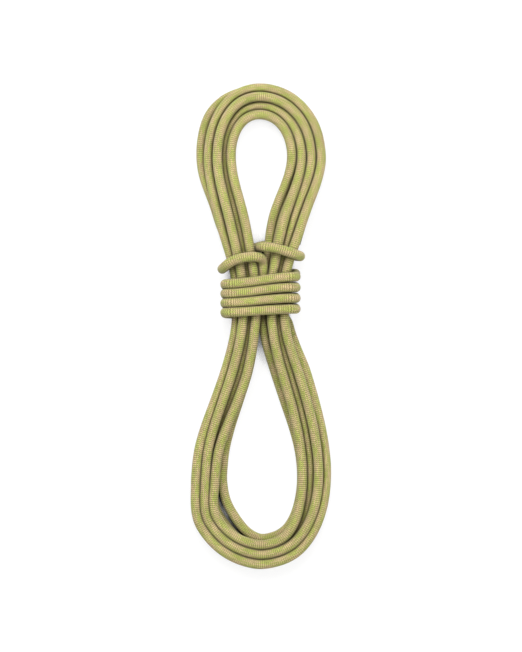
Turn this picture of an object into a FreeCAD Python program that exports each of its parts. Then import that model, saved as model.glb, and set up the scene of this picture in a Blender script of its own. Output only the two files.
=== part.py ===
"""Dynamic climbing rope, put up as a tied hank that lies on its back.

Millimetres. +X to the right, +Y towards the head of the hank, +Z up from the surface
that it lies on. The rope runs on one line from its first end to its last: loops of the
back layer, loops of the front layer, the wraps round the waist, the bight that locks
them, and the tail that is tucked down under the wraps.
"""
import FreeCAD, Part
import math
import os

from FreeCAD import Placement, Rotation, Vector

DRIVING_SIZES = {
    "rope_diameter": 9.8,
    "rope_facets": 7,
    "tight_corner_step": 23.0,
    "least_joint_turn": 2.0,
    "strand_gap": 1.2,
    "waist_gap": 0.6,
    "floor_flat": 0.98,
    "back_loops": 3,
    "front_loops": 4,
    "waist_low": 2.0,
    "waist_high": 56.0,
    "waist_half_slot": 5.0,
    "waist_stagger_angle": 50.0,
    "upper_run_height": 118.0,
    "upper_run_half_width": 15.6,
    "head_side_height": 180.0,
    "head_half_width": 31.0,
    "head_height": 221.0,
    "lower_run_height": -60.0,
    "lower_run_half_width": 13.0,
    "foot_side_height": -158.0,
    "foot_half_width": 40.0,
    "foot_height": -221.0,
    "first_end_run": 24.0,
    "wrap_turns": 4,
    "wrap_pitch": 10.6,
    "wrap_first_height": 12.6,
    "wrap_front_rise": 6.6,
    "wrap_bend_radius": 13.0,
    "wrap_last_climb": 6.0,
    "wrap_slack": 0.3,
    "sleeve_length": 20.0,
    "sleeve_wall": 0.5,
    "sleeve_clearance": 0.06,
    "seal_thickness": 1.5,
    "seal_diameter": 9.6,
    "end_piece_facets": 16,
}

document = FreeCAD.newDocument("climbing_rope")
sheet = document.addObject("Spreadsheet::Sheet", "sizes")
for row, (alias, value) in enumerate(DRIVING_SIZES.items(), start=1):
    sheet.set("A%d" % row, alias)
    sheet.set("B%d" % row, str(value))
    sheet.setAlias("B%d" % row, alias)
document.recompute()


def size(alias):
    """Read one driving dimension from the sheet."""
    return float(sheet.get(alias))


ROPE_RADIUS = size("rope_diameter") / 2
PITCH = size("rope_diameter") + size("strand_gap")
WAIST_PITCH = size("rope_diameter") + size("waist_gap")
FLOOR_LEVEL = ROPE_RADIUS - size("floor_flat")
BACK_LOOPS = int(size("back_loops"))
FRONT_LOOPS = int(size("front_loops"))


class Station:
    """One place that every loop passes: the line of column 0 and how columns lie there."""

    def __init__(self, turn, x, y, heading, front_stagger, back_stagger, lift, slack=0.0,
                 back_shift=0.0, pitch=PITCH):
        self.turn = turn
        self.point = Vector(x, y, 0)
        self.forward = Vector(math.cos(math.radians(heading)), math.sin(math.radians(heading)), 0)
        self.outward = Vector(self.forward.y, -self.forward.x, 0)
        self.front_step = pitch * math.cos(math.radians(front_stagger))
        self.front_rise = pitch * math.sin(math.radians(front_stagger))
        self.back_step = pitch * math.cos(math.radians(back_stagger))
        self.back_rise = pitch * math.sin(math.radians(back_stagger))
        self.layer_rise = max(pitch, self.front_rise + self.back_rise) + slack
        self.lift = lift
        self.back_shift = back_shift


def loop_stations():
    """The places along one loop, from the waist up over the head and round the foot.

    WAIST_STATIONS gives the four at the waist, two on each side.
    """
    waist = size("waist_stagger_angle")
    slot = size("waist_half_slot")
    low, high = size("waist_low"), size("waist_high")
    run_up, run_down = size("upper_run_height"), size("lower_run_height")
    head_side, foot_side = size("head_side_height"), size("foot_side_height")
    wide_up, wide_down = size("upper_run_half_width"), size("lower_run_half_width")
    head, foot = size("head_half_width"), size("foot_half_width")
    foot_end = size("foot_height")
    lift = PITCH
    return [
        Station(0.00, slot, low, 95, waist, waist, lift, 0.5, pitch=WAIST_PITCH),
        Station(0.03, slot + 0.9, high, 80, waist, waist, lift, 0.7, pitch=WAIST_PITCH),
        Station(0.08, wide_up, run_up, 73.5, 24, 22, lift, 3.4),
        Station(0.15, head, head_side, 90, 0, 0, 0, 1.2, 0.0, PITCH + 0.3),
        Station(0.25, 2, size("head_height"), 180, 30, 0, 0, 0.6),
        Station(0.35, -head + 2, head_side, 270, 46, 5, 0, 1.8, 5.0, PITCH + 0.3),
        Station(0.42, -wide_up, run_up, 283.5, 43, 24, lift, 4.2, 3.0, PITCH + 0.3),
        Station(0.48, -slot + 0.7, high, 279, waist, waist, lift, 1.3, pitch=WAIST_PITCH),
        Station(0.50, -slot + 2.3, low, 265, waist, waist, lift, 0.5, pitch=WAIST_PITCH),
        Station(0.58, -wide_down, run_down, 253, 40, 34, 3, 2.4),
        Station(0.66, -foot, foot_side, 270, 43, 8, 0, 1.6, -1.0, PITCH + 0.2),
        Station(0.70, -foot + 0.4, foot_end + 21.5, 301, 54, 8, 0, 1.6, -6.0),
        Station(0.75, 1, foot_end, 0, 41, 0, 0, 0.6),
        Station(0.84, foot - 3.5, foot_side, 90, 41, 8, 0, 1.9, 5.0, PITCH + 0.3),
        Station(0.92, wide_down - 3, run_down, 107, 39, 26, 3, 3.2, 0.0, PITCH + 0.3),
    ]


STATIONS = loop_stations()
WAIST_STATIONS = (0, 1, 7, 8)


def column_and_layer(turn):
    """Column of the strand after so many turns, and whether it is in the front layer."""
    if turn < BACK_LOOPS:
        return BACK_LOOPS - turn, False
    return turn - BACK_LOOPS, True


def stagger_share(column_number):
    """Odd columns ride high and even ones low, so that narrow columns still clear."""
    return 1.0 if column_number % 2 else 0.0


def strand_point(station, loop_number):
    """Centre of the strand where this loop passes the station."""
    turn = loop_number + station.turn
    column, in_front = column_and_layer(turn)
    if in_front:
        lateral = column * station.front_step
        number = loop_number - BACK_LOOPS + (1 if station.turn > 0.2 else 0)
        level = station.layer_rise + stagger_share(number) * station.front_rise
    else:
        lateral = column * station.back_step + station.back_shift
        number = BACK_LOOPS - loop_number - (1 if station.turn > 0.7 else 0)
        level = stagger_share(number) * station.back_rise
    height = FLOOR_LEVEL + station.lift + level
    return station.point + station.outward * lateral + Vector(0, 0, height)


def loop_line():
    """Points and directions of the hank, from the rope's first end to the wraps."""
    first_station = STATIONS[2]
    first = strand_point(first_station, 0)
    places = [(first - first_station.forward * size("first_end_run"), first_station.forward)]
    for loop_number in range(BACK_LOOPS + FRONT_LOOPS):
        for index, station in enumerate(STATIONS):
            if loop_number == 0 and index < 2:
                continue
            point = strand_point(station, loop_number)
            if loop_number == BACK_LOOPS and index < 3:
                point = climb_point(station, index)
            if loop_number == BACK_LOOPS + FRONT_LOOPS - 1 and index == len(STATIONS) - 1:
                point = point + Vector(0, 0, FLOOR_LEVEL + station.lift - point.z)
            places.append((point, station.forward))
    side_rise = (size("wrap_pitch") - size("wrap_front_rise")) / 4
    back_pass = size("wrap_first_height") - 2 * side_rise
    end = Vector(size("waist_half_slot") + 3.6 * STATIONS[0].front_step,
                 back_pass - size("wrap_bend_radius") - size("rope_diameter"), FLOOR_LEVEL)
    places.append((end, Vector(0, 1, 0)))
    return places


def climb_point(station, index):
    """The strand that climbs from the back layer, bowed inwards where it passes others."""
    column = -4 * station.turn
    height = FLOOR_LEVEL + station.lift
    if index == 2:
        column = -0.16
        height += station.layer_rise / 4
    return station.point + station.outward * (column * station.back_step) + Vector(0, 0, height)


def directions(places, rise):
    """Give each point its direction: the station's heading, turned by drift and climb."""
    points = [point for point, forward in places]
    result = []
    for index, (point, forward) in enumerate(places):
        climb = 0.0
        if 0 < index < len(places) - 1:
            before = slope_along(points[index - 1], point, rise)
            after = slope_along(point, points[index + 1], rise)
            if before * after > 0:
                climb = 2 * before * after / (before + after)
        result.append((point, (forward + rise * climb).normalize()))
    return result


def joint_of_biarc(start, start_way, end, end_way):
    """Where two tangent arcs of equal reach meet, and the reach of their corners."""
    gap = end - start
    ways = start_way + end_way
    square = 2 * (1 - start_way.dot(end_way))
    slope = gap.dot(ways)
    if square < 1e-9:
        reach = gap.dot(gap) / (4 * gap.dot(end_way))
    else:
        reach = (-slope + math.sqrt(slope * slope + square * gap.dot(gap))) / square
    corner = start + start_way * reach
    return (corner + end - end_way * reach) * 0.5


def arc_or_line(start, way, end):
    """The arc that leaves start along way and reaches end, or a line where they agree."""
    chord = end - start
    side = way - chord * (way.dot(chord) / chord.dot(chord))
    if side.Length < 1e-5:
        return Part.LineSegment(start, end)
    half_turn = math.atan2(side.Length, way.dot(chord) / chord.Length)
    bulge = chord.Length / 2 * math.tan(half_turn / 2)
    middle = (start + end) * 0.5 + side.normalize() * bulge
    return Part.Arc(start, middle, end)


def biarc_line(directed):
    """Tangent arcs, two from each point to the next."""
    curves = []
    for (start, start_way), (end, end_way) in zip(directed, directed[1:]):
        joint = joint_of_biarc(start, start_way, end, end_way)
        curves.append(arc_or_line(start, start_way, joint))
        back = arc_or_line(end, end_way * -1, joint)
        if isinstance(back, Part.LineSegment):
            curves.append(Part.LineSegment(joint, end))
        else:
            middle = back.value((back.FirstParameter + back.LastParameter) / 2)
            curves.append(Part.Arc(joint, middle, end))
    return curves


def points_along(curves, spacing=3.0):
    """Points on the line, evenly spread, with their distance from its start."""
    found = []
    travelled = 0.0
    for curve in curves:
        length = curve.length()
        count = max(2, int(length / spacing))
        for step in range(count):
            parameter = curve.parameterAtDistance(length * step / count, curve.FirstParameter)
            found.append((travelled + length * step / count, curve.value(parameter)))
        travelled += length
    return found, travelled


def least_gap(samples, apart):
    """Least clear distance between parts of the line that lie apart along it."""
    near = 2 * size("rope_diameter")
    least = near
    for index, (here, point) in enumerate(samples):
        for (there, other), (_, after) in zip(samples[index + 1:], samples[index + 2:]):
            if there - here < apart or other.distanceToPoint(point) > near:
                continue
            least = min(least, point.distanceToLineSegment(other, after).Length)
    return least - size("rope_diameter")


def tightest_radius(curves):
    """Smallest radius of the arcs of a line."""
    bends = [curve.curvature(curve.FirstParameter) for curve in curves
             if not isinstance(curve, Part.LineSegment)]
    return 1 / max(bends)


def slope_along(start, end, rise):
    """How steeply the line climbs along the rise axis between two points."""
    return (end - start).dot(rise) / (end - start).Length


def wrap_line(first):
    """Points and directions of the wraps, from the end of the loops to behind the neck."""
    right = max(outer_strand(index).x for index in WAIST_STATIONS) + WAIST_PITCH + size("wrap_slack")
    left = min(outer_strand(index).x for index in WAIST_STATIONS) - WAIST_PITCH
    top = max(outer_height(index) for index in WAIST_STATIONS) + WAIST_PITCH
    corner = WAIST_PITCH
    bend = size("wrap_bend_radius")
    pitch, front_rise = size("wrap_pitch"), size("wrap_front_rise")
    side_rise = (pitch - front_rise) / 4
    east, west = Vector(1, 0, 0), Vector(-1, 0, 0)
    north, up, down = Vector(0, 1, 0), Vector(0, 0, 1), Vector(0, 0, -1)
    after_straight = first + north * size("rope_diameter")
    after_bend = after_straight + Vector(-bend, bend, 0)
    places = [(first, north), (after_straight, north), (after_bend, west)]
    for turn in range(int(size("wrap_turns"))):
        base = size("wrap_first_height") + turn * pitch
        last = turn == int(size("wrap_turns")) - 1
        fall = base + front_rise
        climb = size("wrap_last_climb") if last else 2 * side_rise
        places += [
            (Vector(left + corner, base - 2 * side_rise, FLOOR_LEVEL), west),
            (Vector(left, base - 1.5 * side_rise, FLOOR_LEVEL + corner), up),
            (Vector(left, base - 0.5 * side_rise, top - corner), up),
            (Vector(left + corner, base, top), east),
            (Vector(right - corner, fall, top), east),
            (Vector(right, fall + 0.12 * climb, top - corner), down),
            (Vector(right, fall + 0.75 * climb, FLOOR_LEVEL + corner), down),
        ]
        if not last:
            places.append((Vector(right - corner, fall + climb, FLOOR_LEVEL), west))
    leaving = Vector(-0.85, 0.52, 0).normalize()
    corner_end = Vector(right - corner, fall + climb + 0.6, FLOOR_LEVEL)
    places.append((corner_end, leaving))
    places.append((corner_end + leaving * size("rope_diameter"), leaving))
    return places


def outer_strand(index):
    """Outermost front strand at one of the waist stations."""
    last_loop = BACK_LOOPS + FRONT_LOOPS - 1
    return strand_point(STATIONS[index], last_loop)


def outer_height(index):
    """Highest strand centre at one of the waist stations."""
    station = STATIONS[index]
    return FLOOR_LEVEL + station.lift + station.layer_rise + station.front_rise


def rounded_line(points, ease=0.45):
    """Straight runs joined by tangent arcs, as large as the runs allow."""
    curves = []
    radii = []
    at = points[0]
    for before, point, after in zip(points, points[1:], points[2:]):
        back, ahead = (before - point), (after - point)
        run = min(back.Length, ahead.Length)
        half_turn = (math.pi - back.getAngle(ahead)) / 2
        reach = ease * run
        radii.append(reach / math.tan(half_turn))
        start = point + back.normalize() * reach
        end = point + ahead.normalize() * reach
        inner = (back + ahead).normalize()
        deep = radii[-1] / math.cos(half_turn) - radii[-1]
        curves.append(Part.LineSegment(at, start))
        curves.append(Part.Arc(start, point + inner * deep, end))
        at = end
    curves.append(Part.LineSegment(at, points[-1]))
    return curves, radii


def short_runs(curves):
    """Straight runs along tight curves; joints that hardly turn are left out."""
    corners = [start_of(curves[0])]
    for curve in curves:
        count = 1
        if not isinstance(curve, Part.LineSegment):
            turn = math.degrees(curve.length() * curve.curvature(curve.FirstParameter))
            count = math.ceil(turn / size("tight_corner_step"))
        for step in range(1, count + 1):
            reach = curve.length() * step / count
            corners.append(curve.value(curve.parameterAtDistance(reach, curve.FirstParameter)))
    kept = corners[:1]
    for corner, following in zip(corners[1:], corners[2:]):
        turn = math.degrees((corner - kept[-1]).getAngle(following - corner))
        if turn > size("least_joint_turn"):
            kept.append(corner)
    kept.append(corners[-1])
    return [Part.LineSegment(start, end) for start, end in zip(kept, kept[1:])]


def start_of(curve):
    """First point of a curve."""
    return curve.value(curve.FirstParameter)


def end_of(curve):
    """Last point of a curve."""
    return curve.value(curve.LastParameter)


loop_places = directions(loop_line(), Vector(0, 0, 1))
loops = biarc_line(loop_places)
wraps = biarc_line(directions(wrap_line(loop_places[-1][0]), Vector(0, 1, 0)))

TOP_LEVEL = max(outer_height(index) for index in WAIST_STATIONS) + WAIST_PITCH
BIGHT_ROUTE = [
    (7.6, 68, 0), (-1.4, 75.5, 0.02), (-2.6, 84, 0.24), (-2.6, 87, 0.62), (0.8, 86, 0.97),
    (15, 83, 1.04), (33, 76, 1.04), (43.5, 72.5, 0.86), (43.7, 72, 0.39),
    (35, 74.5, 0.01), (19, 83, 0), (2, 91, 0), (-14, 88, 0), (-29, 76, 0),
    (-38.5, 66, 0.11), (-41, 61, 0.43), (-39.5, 60.5, 0.82), (-29, 64.5, 1.02),
    (-16, 70.5, 1.04), (-5.2, 74.5, 1.03), (0.5, 75.8, 0.80), (0.8, 71.5, 0.62),
    (1.5, 60.5, 0.57), (2.0, 50, 0.57), (2.0, 13, 0.57),
]
bight, bight_radii = rounded_line([end_of(wraps[-1])] + [
    Vector(x, y, FLOOR_LEVEL + share * (TOP_LEVEL - FLOOR_LEVEL)) for x, y, share in BIGHT_ROUTE])

wrap_runs = short_runs(wraps)
neck_runs = short_runs(bight[:-1])
tail_runs = bight[-1:]
samples, total_length = points_along(loops + wrap_runs + neck_runs + tail_runs)
print("rope length %.1f mm: loops %.1f, wraps %.1f, bight %.1f, tail %.1f" % (
    total_length, *(points_along(part)[1] for part in (loops, wrap_runs, neck_runs, tail_runs))))
print("least gap of the rope to itself %.2f mm" % least_gap(samples, 3.5 * size("rope_diameter")))
print("tightest bend of the loops %.1f, of the wraps %.1f mm" % (
    tightest_radius(loops), tightest_radius(wraps)))
print("bends of the bight %s mm" % ", ".join("%.1f" % radius for radius in bight_radii))


def line_feature(name, curves):
    """Keep a centre line in the document, to be swept."""
    feature = document.addObject("Part::Feature", name + "_line")
    feature.Shape = Part.Wire([curve.toShape() for curve in curves])
    return feature


def rope_section(curve):
    """Faceted section of the rope, square to the start of its line."""
    start = start_of(curve)
    turn = Rotation(Vector(0, 0, 1), Vector(*curve.tangent(curve.FirstParameter)[0]))
    sides = int(size("rope_facets"))
    corners = [start + turn.multVec(Vector(ROPE_RADIUS * math.cos(2 * math.pi * side / sides),
                                           ROPE_RADIUS * math.sin(2 * math.pi * side / sides), 0))
               for side in range(sides)]
    return Part.makePolygon(corners + corners[:1])


def rope_feature(name, curves, joint=0):
    """Sweep the rope along its line and cut it flat where it lies on the floor."""
    line = line_feature(name, curves)
    tube = document.addObject("Part::Feature", name + "_tube")
    tube.Shape = line.Shape.makePipeShell([rope_section(curves[0])], True, False, joint)
    cut = document.addObject("Part::Cut", name)
    cut.Base = tube
    cut.Tool = floor_block
    cut.Label = name
    return cut


floor_block = document.addObject("Part::Box", "floor_block")
floor_block.setExpression("Length", "sizes.foot_half_width * 8")
floor_block.setExpression("Width", "sizes.head_height * 3.2")
floor_block.setExpression("Height", "sizes.rope_diameter")
floor_block.setExpression("Placement.Base.x", "-sizes.foot_half_width * 4")
floor_block.setExpression("Placement.Base.y", "-sizes.head_height * 1.6")
floor_block.setExpression("Placement.Base.z", "-sizes.rope_diameter")

MITRED = 1
NODES = [
    rope_feature("hank_loops", loops),
    rope_feature("waist_wraps", wrap_runs, MITRED),
    rope_feature("locking_bight", neck_runs, MITRED),
    rope_feature("tucked_tail", tail_runs),
]


def faceted_round(name, radius, height, tip, way):
    """Round piece with flat facets, on the rope's end."""
    piece = document.addObject("Part::Prism", name)
    piece.setExpression("Polygon", "sizes.end_piece_facets")
    piece.setExpression("Circumradius", radius)
    piece.setExpression("Height", height)
    piece.Placement = Placement(tip, Rotation(Vector(0, 0, 1), way))
    piece.Label = name
    return piece


def end_sleeve(name, tip, inward):
    """Shrunk sleeve round the rope's last stretch, from its tip inwards."""
    bore = "(sizes.rope_diameter / 2 + sizes.sleeve_clearance) / cos(180deg / sizes.end_piece_facets)"
    sleeve = document.addObject("Part::Cut", name)
    sleeve.Base = faceted_round(name + "_outer", bore + " + sizes.sleeve_wall",
                                "sizes.sleeve_length", tip, inward)
    sleeve.Tool = faceted_round(name + "_bore", bore, "sizes.sleeve_length", tip, inward)
    sleeve.Label = name
    return sleeve


first_tip, first_way = start_of(loops[0]), loops[0].tangent(loops[0].FirstParameter)[0]
last_tip, last_way = end_of(tail_runs[-1]), tail_runs[-1].tangent(tail_runs[-1].LastParameter)[0]
NODES += [
    end_sleeve("first_end_sleeve", first_tip, first_way),
    faceted_round("first_end_seal", "sizes.seal_diameter / 2", "sizes.seal_thickness",
                  first_tip, first_way * -1),
    end_sleeve("tail_end_sleeve", last_tip, last_way * -1),
    faceted_round("tail_end_seal", "sizes.seal_diameter / 2", "sizes.seal_thickness",
                  last_tip, last_way),
]
document.recompute()

for item in document.Objects:
    if "Invalid" in item.State or "Error" in item.State:
        raise RuntimeError("%s did not rebuild: %s" % (item.Label, item.State))
for node in NODES:
    if node.Shape.isNull() or not node.Shape.isValid():
        raise RuntimeError("%s has no valid shape" % node.Label)

os.makedirs("parts", exist_ok=True)
for node in NODES:
    node.Shape.exportStep("parts/%s.step" % node.Label)
    print("%-18s %2d solid, %9.1f mm3" % (node.Label, len(node.Shape.Solids), node.Shape.Volume))
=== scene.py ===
"""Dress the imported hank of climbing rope: braided sheath, end sleeves, studio and camera.

Routes are given in millimetres and turned into metres where Blender takes them. Each
stretch of the rope is one mesh tube round its own smooth line.
"""

import logging
import math
from dataclasses import dataclass, field
from enum import Enum, IntEnum

import bpy
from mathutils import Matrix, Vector

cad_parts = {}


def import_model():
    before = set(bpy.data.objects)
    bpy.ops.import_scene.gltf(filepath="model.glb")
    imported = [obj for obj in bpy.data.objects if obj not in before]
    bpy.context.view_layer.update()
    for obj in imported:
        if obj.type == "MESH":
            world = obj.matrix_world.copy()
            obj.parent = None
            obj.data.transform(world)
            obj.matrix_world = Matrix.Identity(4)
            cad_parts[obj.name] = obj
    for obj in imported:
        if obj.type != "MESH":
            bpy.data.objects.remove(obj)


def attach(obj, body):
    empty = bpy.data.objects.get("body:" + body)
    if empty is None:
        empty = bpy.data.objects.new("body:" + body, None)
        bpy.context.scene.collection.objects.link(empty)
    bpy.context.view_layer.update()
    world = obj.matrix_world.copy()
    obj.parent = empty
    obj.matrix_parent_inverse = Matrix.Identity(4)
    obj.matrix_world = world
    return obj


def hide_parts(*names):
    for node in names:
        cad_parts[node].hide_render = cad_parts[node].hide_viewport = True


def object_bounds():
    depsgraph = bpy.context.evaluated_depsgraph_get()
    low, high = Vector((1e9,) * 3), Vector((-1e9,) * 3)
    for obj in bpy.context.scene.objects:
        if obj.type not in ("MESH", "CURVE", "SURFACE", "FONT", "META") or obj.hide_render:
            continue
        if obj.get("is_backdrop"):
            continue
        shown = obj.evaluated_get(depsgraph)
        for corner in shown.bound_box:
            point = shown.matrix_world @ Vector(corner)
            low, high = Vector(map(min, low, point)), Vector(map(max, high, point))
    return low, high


MM = 0.001
# Turn in radians below which a span of the route counts as straight.
STRAIGHT_TURN = 1e-3
# Points that are read from each span of a spline.
SPLINE_STEPS = 10
log = logging.getLogger("climbing_rope")

Colour = tuple[float, float, float, float]
Range = tuple[float, float]
Input = bpy.types.NodeSocket | float | Colour | Vector
WHITE: Colour = (1.0, 1.0, 1.0, 1.0)
# Sockets of the Mix node that are for colours.
MIX_SHARE, MIX_FIRST, MIX_SECOND, MIX_RESULT = 0, 6, 7, 2
# Layout of a node tree.
NODE_WIDTH, NODE_HEIGHT, NODES_PER_COLUMN = 200, 180, 8


class Slot(Enum):
    """Material slots of the record."""

    SHEATH = "sheath"
    SLEEVE = "end_sleeve"
    FUSED = "fused_end"


class Layer(Enum):
    """The two layers of the hank."""

    BACK = "back"
    FRONT = "front"


class FarEnd(Enum):
    """What a stretch of the rope ends in."""

    OBJECT = "object"
    FITTING = "fitting"


class Lay(Enum):
    """How a stretch of the rope lies."""

    COILED = "coiled"
    LOOSE = "loose"


class Stop(IntEnum):
    """Stations of one loop, in the order in which the rope passes them."""

    WAIST_RIGHT_LOW = 0
    WAIST_RIGHT_HIGH = 1
    NECK_RIGHT = 2
    HEAD_RIGHT = 3
    HEAD_TOP = 4
    HEAD_LEFT = 5
    NECK_LEFT = 6
    WAIST_LEFT_HIGH = 7
    WAIST_LEFT_LOW = 8
    LEG_LEFT = 9
    FOOT_LEFT = 10
    FOOT_CORNER = 11
    FOOT_BOTTOM = 12
    FOOT_RIGHT = 13
    LEG_RIGHT = 14


WAIST_RIGHT = (Stop.WAIST_RIGHT_LOW, Stop.WAIST_RIGHT_HIGH)
WAIST_LEFT = (Stop.WAIST_LEFT_HIGH, Stop.WAIST_LEFT_LOW)


@dataclass(frozen=True)
class Rope:
    """Sizes of the rope itself, in millimetres."""

    diameter: float = 9.8
    strand_gap: float = 1.2
    waist_gap: float = 0.6
    floor_flat: float = 0.98
    pile: float = 0.12

    @property
    def radius(self) -> float:
        """Half the diameter."""
        return self.diameter / 2

    @property
    def pitch(self) -> float:
        """Distance between neighbouring strands."""
        return self.diameter + self.strand_gap

    @property
    def waist_pitch(self) -> float:
        """Distance between neighbouring strands where the wraps hold them."""
        return self.diameter + self.waist_gap

    @property
    def floor_level(self) -> float:
        """Height of the rope's centre where it rests, pressed a little flat."""
        return self.radius - self.floor_flat


@dataclass(frozen=True)
class Station:
    """One place that every loop passes: where column 0 lies and how columns spread there.

    Heights and steps are in millimetres, angles in degrees, and turn is the share of the
    loop. Each stagger is the slope from one column to the next, which rides higher or lower
    than it. Where front_sides or back_sides are given, they place the loops of that layer
    one by one, in place of the even steps.
    """

    turn: float
    x: float
    y: float
    heading: float
    front_stagger: float
    back_stagger: float
    lift: float
    slack: float
    pitch: float
    back_shift: float = 0.0
    front_sides: tuple[float, ...] = ()
    back_sides: tuple[float, ...] = ()

    @property
    def forward(self) -> Vector:
        """Direction in which the rope runs through the station."""
        angle = math.radians(self.heading)
        return Vector((math.cos(angle), math.sin(angle), 0))

    @property
    def outward(self) -> Vector:
        """Direction from column to column."""
        return Vector((self.forward.y, -self.forward.x, 0))

    def step(self, layer: Layer) -> float:
        """Sideways distance from column to column in a layer."""
        return self.pitch * math.cos(math.radians(self._stagger(layer)))

    def rise(self, layer: Layer) -> float:
        """How much higher every other column rides in a layer."""
        return self.pitch * math.sin(math.radians(self._stagger(layer)))

    @property
    def layer_rise(self) -> float:
        """Height of the front layer over the back one."""
        needed = self.rise(Layer.FRONT) + self.rise(Layer.BACK)
        return max(self.pitch, needed) + self.slack

    def at(self, side: float, height: float) -> Vector:
        """Point beside the station, at a distance outwards and a height."""
        return Vector((self.x, self.y, height)) + self.outward * side

    def _stagger(self, layer: Layer) -> float:
        """Slope between the columns of a layer."""
        return self.front_stagger if layer is Layer.FRONT else self.back_stagger


@dataclass(frozen=True)
class Place:
    """A point on the rope's route and the direction that it has there."""

    point: Vector
    forward: Vector


def smooth_points(places: list[Place], per_span: int) -> list[Vector]:
    """Spread control points over a route, so that its spline keeps near the places.

    Args:
        places: Points and directions that the rope passes, in order.
        per_span: How many control points each span between two places gets.

    Returns:
        Control points of a quadratic spline.
    """
    points = []
    for here, there in zip(places, places[1:]):
        reach = hand_length(here, there)
        for step in range(per_span):
            points.append(hermite(here, there, reach, step / per_span))
    points.append(places[-1].point)
    return sharpened(points)


def hand_length(here: Place, there: Place) -> float:
    """Find the end tangents that make a span nearly a round arc.

    Args:
        here: Start of the span.
        there: End of the span.

    Returns:
        Length of both tangents.
    """
    chord = (there.point - here.point).length
    turn = here.forward.angle(there.forward)
    if turn < STRAIGHT_TURN:
        return chord
    return 2 * chord * math.tan(turn / 4) / math.sin(turn / 2)


def hermite(here: Place, there: Place, reach: float, share: float) -> Vector:
    """Find a point of a cubic span whose tangents have the same length.

    Args:
        here: Start of the span.
        there: End of the span.
        reach: Length of both tangents.
        share: Share of the span, from 0 at its start to 1.

    Returns:
        The point.
    """
    square, cube = share * share, share ** 3
    return (here.point * (2 * cube - 3 * square + 1)
            + here.forward * (reach * (cube - 2 * square + share))
            + there.point * (3 * square - 2 * cube)
            + there.forward * (reach * (cube - square)))


def sharpened(points: list[Vector]) -> list[Vector]:
    """Push control points out by what a quadratic spline cuts inside them.

    That is an eighth of how much the points bend there.

    Args:
        points: Points that the spline should pass.

    Returns:
        Control points, with the first and the last where they were.
    """
    pushed = [points[0]]
    for before, point, after in zip(points, points[1:], points[2:]):
        pushed.append(point - (before - 2 * point + after) / 8)
    return pushed + [points[-1]]


def steered(places: list[Place], rise: Vector) -> list[Place]:
    """Turn each direction up or down by the slope of the route on both sides of it.

    Args:
        places: Points with level directions.
        rise: Axis along which the route climbs.

    Returns:
        The same points with the directions that the rope really has.
    """
    result = []
    for index, place in enumerate(places):
        climb = 0.0
        if 0 < index < len(places) - 1:
            before = slope(places[index - 1].point, place.point, rise)
            after = slope(place.point, places[index + 1].point, rise)
            if before * after > 0:
                climb = 2 * before * after / (before + after)
        result.append(Place(place.point, (place.forward + rise * climb).normalized()))
    return result


def slope(start: Vector, end: Vector, rise: Vector) -> float:
    """How steeply the route climbs along an axis between two points."""
    return (end - start).dot(rise) / (end - start).length


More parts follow.
